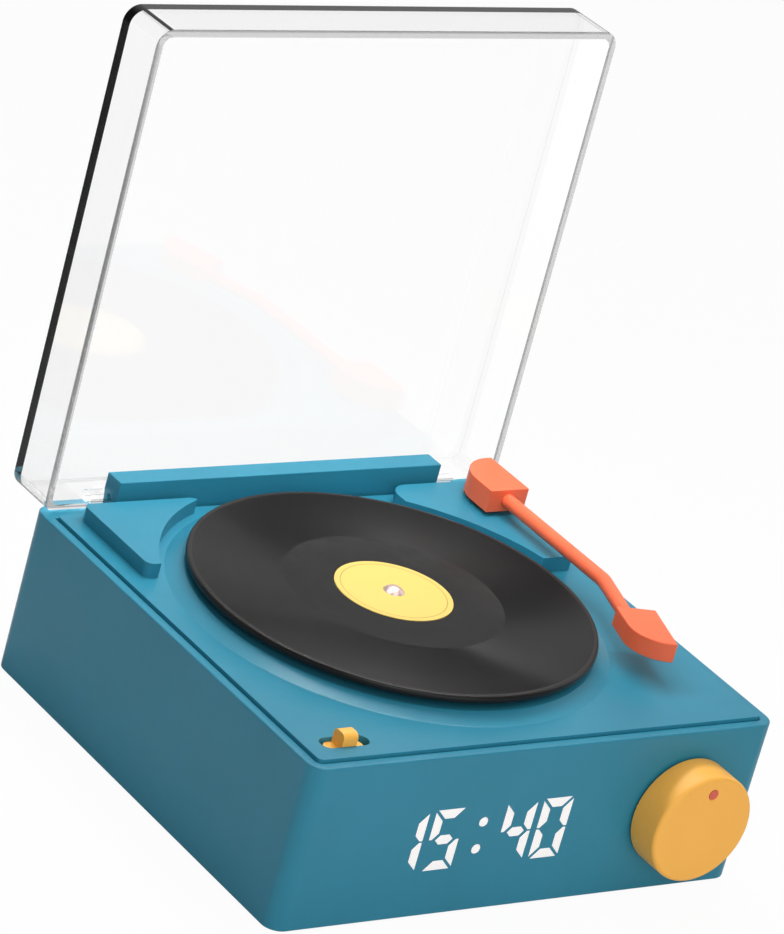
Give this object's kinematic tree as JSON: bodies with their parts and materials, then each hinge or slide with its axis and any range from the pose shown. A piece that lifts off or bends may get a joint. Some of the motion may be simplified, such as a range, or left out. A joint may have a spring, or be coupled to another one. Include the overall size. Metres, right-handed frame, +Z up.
{
  "type": "speaker alarm clock",
  "caption": "Compact desk speaker and alarm clock styled as a record player, with a hinged clear cover, turning record, swinging tone arm, volume knob and mode slide",
  "frame": {"origin": "centre of the case's floor plan, on the plane the foot pad stands on", "axes": "+Z up, front with the digits and knob towards -Y, hinge bar and open cover towards +Y, tone arm towards +X"},
  "size_m": [0.1168, 0.1261, 0.1452],
  "materials": {
    "teal": "moulded plastic with a soft satin sheen",
    "coral": "satin moulded plastic",
    "amber": "satin moulded plastic",
    "red_dot": "printed dot",
    "digit_white": "lit white segments",
    "vinyl": "grooved black disc",
    "label": "plain printed paper label",
    "rose_metal": "polished rose-tinted metal",
    "clear_cover": "clear moulded plastic",
    "dark_plastic": "dark moulded plastic",
    "rubber": "soft rubber",
    "steel": "plated steel",
    "black_metal": "black pressed steel",
    "brass": "turned brass",
    "paper": "pressed paper cone",
    "circuit_board": "green circuit board",
    "cell_wrap": "shrink-wrapped cell",
    "red_wire": "insulated wire",
    "black_wire": "insulated wire",
    "ribbon": "flat cable"
  },
  "bodies": {
    "housing": {"case": "teal", "deck": "teal", "hinge_bar": "teal", "bar_screws": "steel", "deck_screws": "steel", "base_plate": "dark_plastic", "base_screws": "steel", "foot_pad": "rubber", "speaker_grille": "dark_plastic", "speaker_frame": "black_metal", "speaker_magnet": "steel", "speaker_cone": "paper", "speaker_screws": "steel", "main_board": "circuit_board", "board_chips": "dark_plastic", "board_screws": "steel", "battery": "cell_wrap", "battery_leads": "red_wire", "speaker_leads": "black_wire", "usb_socket": "steel", "display_module": "dark_plastic", "display_board": "circuit_board", "display_ribbon": "ribbon", "display_digits": "digit_white", "volume_control": "steel", "control_washer": "steel", "control_nut": "steel", "slide_switch": "dark_plastic", "spindle_bush": "brass", "arm_bush": "brass"},
    "cover": {"lid": "clear_cover", "hinge_pins": "clear_cover"},
    "turntable": {"record": "vinyl", "record_label": "label", "platter": "dark_plastic", "spindle": "steel", "spindle_cap": "rose_metal", "spindle_clip": "steel"},
    "tone_arm": {"arm_block": "coral", "arm_tube": "coral", "headshell": "coral", "arm_pivot": "steel", "arm_clip": "steel"},
    "volume_knob": {"knob": "amber", "knob_dot": "red_dot", "control_shaft": "steel"},
    "mode_slide": {"slide_lever": "amber"}
  },
  "joints": [
    {"name": "cover_hinge", "type": "hinge", "parent": "housing", "child": "cover", "pos_m": [0, 0.0518, 0.03965], "axis": [1, 0, 0], "range_deg": [0, 90.5]},
    {"name": "record_turn", "type": "hinge", "parent": "housing", "child": "turntable", "pos_m": [-0.00375, 0.00085, 0.043], "axis": [0, 0, 1], "continuous": true},
    {"name": "tone_arm_swing", "type": "hinge", "parent": "housing", "child": "tone_arm", "pos_m": [0.04645, 0.0407, 0.04265], "axis": [0, 0, 1], "range_deg": [-28, 0]},
    {"name": "volume_turn", "type": "hinge", "parent": "housing", "child": "volume_knob", "pos_m": [0.03815, -0.058, 0.01955], "axis": [0, 1, 0], "range_deg": [-140, 140]},
    {"name": "mode_slide_travel", "type": "slide", "parent": "housing", "child": "mode_slide", "axis": [1, 0, 0], "range_m": [-0.001, 0.001]}
  ]
}
